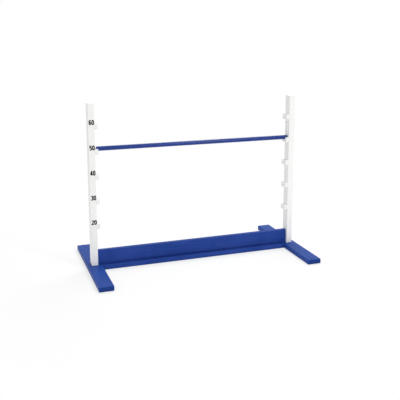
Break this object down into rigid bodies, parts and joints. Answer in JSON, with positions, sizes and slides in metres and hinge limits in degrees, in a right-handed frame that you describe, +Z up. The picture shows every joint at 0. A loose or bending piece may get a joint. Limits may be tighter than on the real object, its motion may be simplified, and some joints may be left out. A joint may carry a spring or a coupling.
{
  "type": "adjustable high jump stand with crossbar",
  "caption": "Painted wooden jump stand: two posts on feet joined by a low rail, with stepped cradles that hold a loose round crossbar at a chosen height.",
  "frame": {"origin": "on the floor, midway between the two posts and midway along the feet", "axes": "+X from the left post to the right post, along the crossbar; -Y the side with the numbers, along the feet; +Z up"},
  "size_m": [0.921, 0.5, 0.672],
  "materials": {
    "blue_paint": "satin blue enamel on planed softwood",
    "bar_paint": "satin blue enamel on a turned beech rod",
    "white_paint": "satin white enamel on planed softwood",
    "screw_steel": "zinc-plated wood screws",
    "dowel_wood": "bare beech",
    "number_paint": "black numbers, a thin vinyl film"
  },
  "bodies": {
    "stand": {"left_foot": "blue_paint", "right_foot": "blue_paint", "base_board": "blue_paint", "rail": "blue_paint", "left_post": "white_paint", "right_post": "white_paint", "left_cradle_20": "white_paint", "left_cradle_30": "white_paint", "left_cradle_40": "white_paint", "left_cradle_50": "white_paint", "left_cradle_60": "white_paint", "right_cradle_20": "white_paint", "right_cradle_30": "white_paint", "right_cradle_40": "white_paint", "right_cradle_50": "white_paint", "right_cradle_60": "white_paint", "left_post_screws": "screw_steel", "right_post_screws": "screw_steel", "rail_screws": "screw_steel", "left_rail_dowels": "dowel_wood", "left_base_dowels": "dowel_wood", "left_cradle_dowels": "dowel_wood", "right_rail_dowels": "dowel_wood", "right_base_dowels": "dowel_wood", "right_cradle_dowels": "dowel_wood"},
    "crossbar": {"crossbar": "bar_paint"}
  },
  "joints": [
    {"name": "crossbar_lift", "type": "slide", "parent": "stand", "child": "crossbar", "axis": [0, 0, 1], "range_m": [0, 0.06]}
  ]
}
